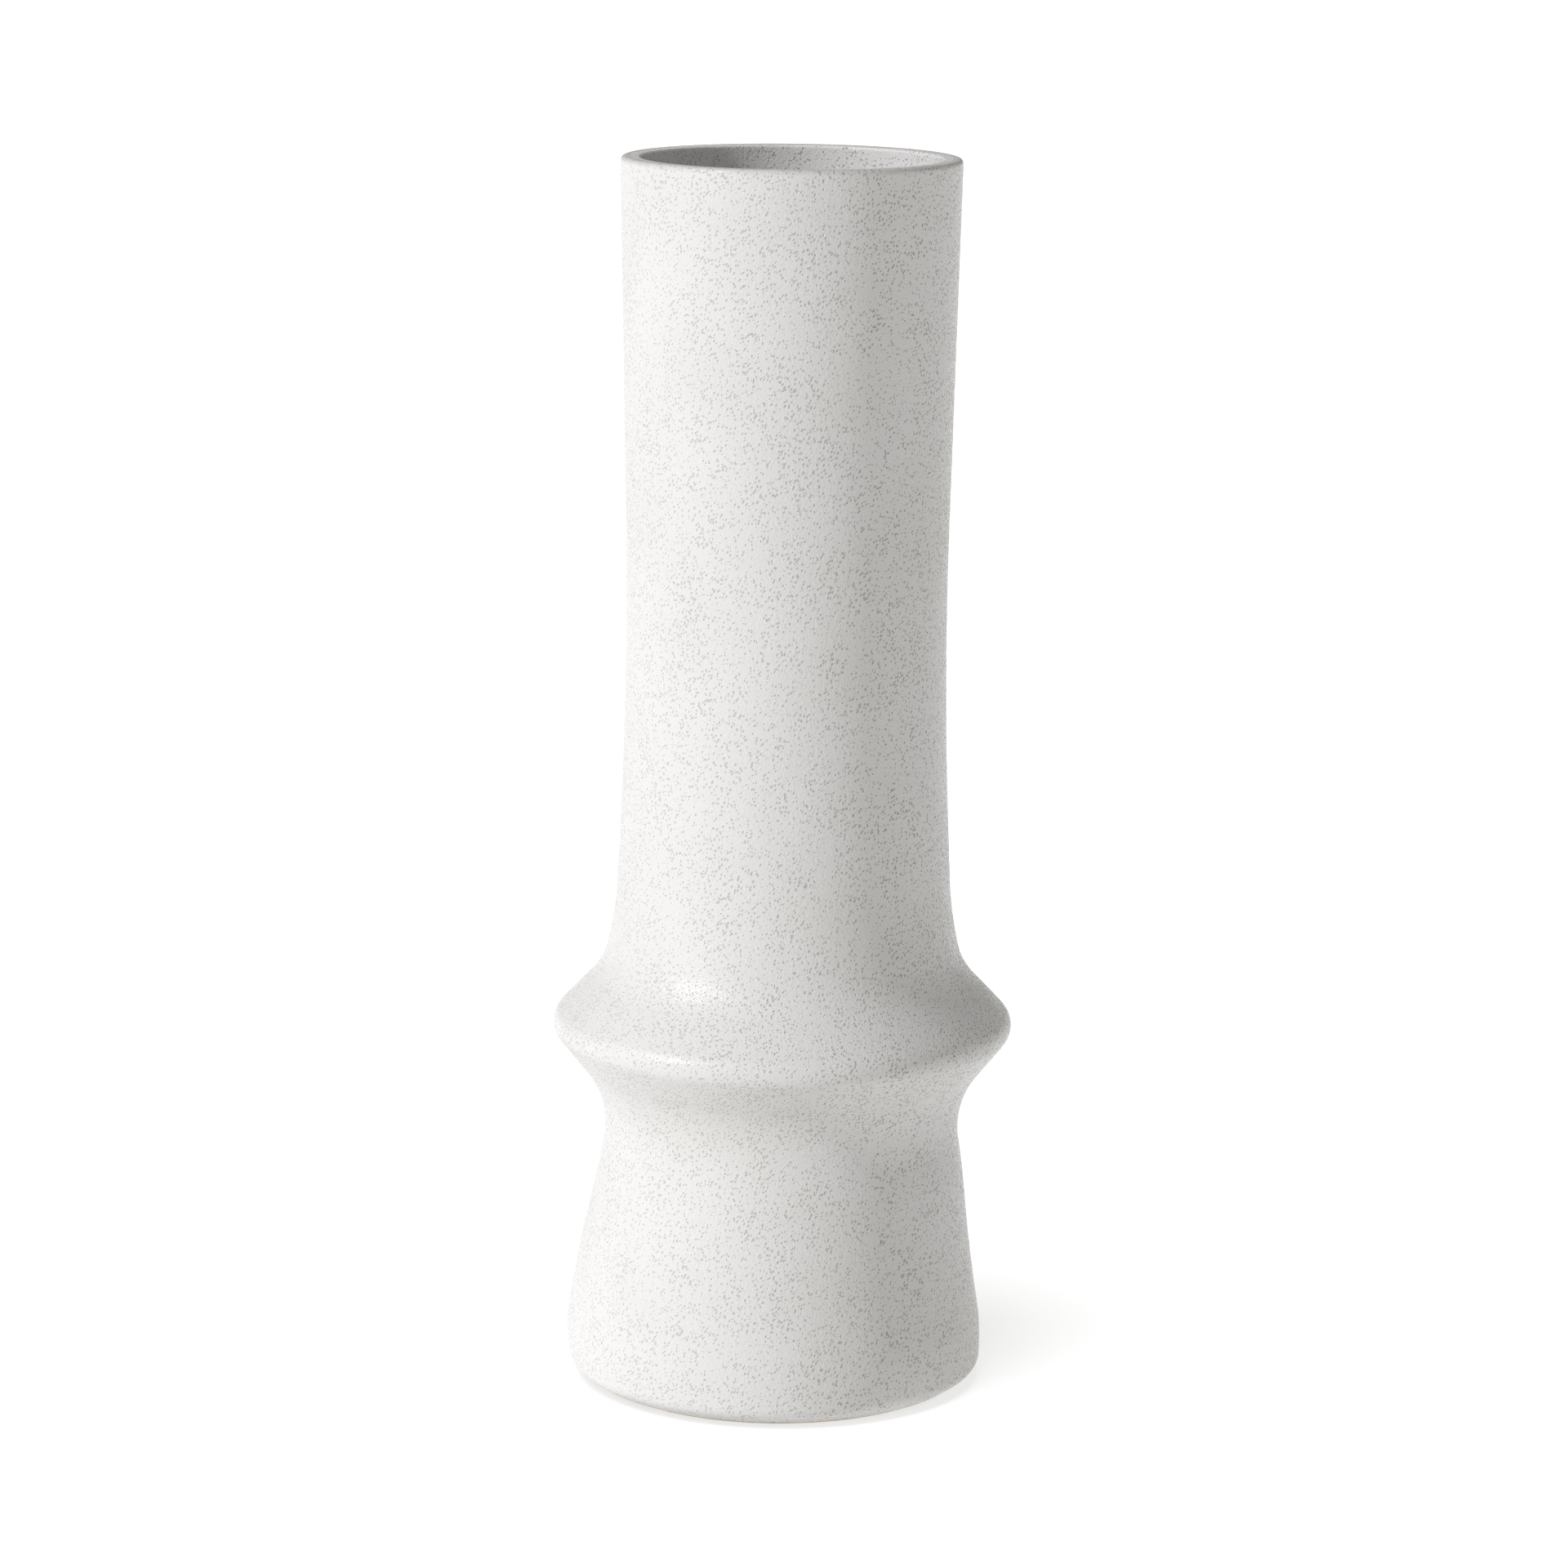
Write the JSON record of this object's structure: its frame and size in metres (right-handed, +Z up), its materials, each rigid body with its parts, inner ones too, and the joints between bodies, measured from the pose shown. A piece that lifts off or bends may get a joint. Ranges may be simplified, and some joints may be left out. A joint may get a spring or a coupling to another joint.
{
  "type": "stoneware vase",
  "caption": "Tall stoneware floor or shelf vase with a long waisted neck, a rounded collar at the shoulder, a flared base, and a satin speckled off-white glaze inside and out",
  "frame": {"origin": "middle of the foot, on the surface that the vase stands on", "axes": "+Z up along the vase's axis; X and Y are level, and the vase is the same all round"},
  "size_m": [0.1516, 0.1514, 0.406],
  "materials": {
    "bare_stoneware": "matte unglazed fired clay, cream to tan",
    "joint_slip": "matte fired slip in the luted joints",
    "satin_glaze": "satin off-white glaze with fine pits and speckles"
  },
  "bodies": {
    "root": {"foot_ring": "bare_stoneware", "foot_slip": "joint_slip", "floor_disc": "bare_stoneware", "floor_slip": "joint_slip", "corner_coil": "bare_stoneware", "base_section": "bare_stoneware", "waist_slip": "joint_slip", "collar_underside": "bare_stoneware", "collar_slip": "joint_slip", "collar_shoulder": "bare_stoneware", "neck_slip": "joint_slip", "neck_section": "bare_stoneware", "glaze_outside": "satin_glaze", "glaze_inside": "satin_glaze"}
  },
  "joints": []
}
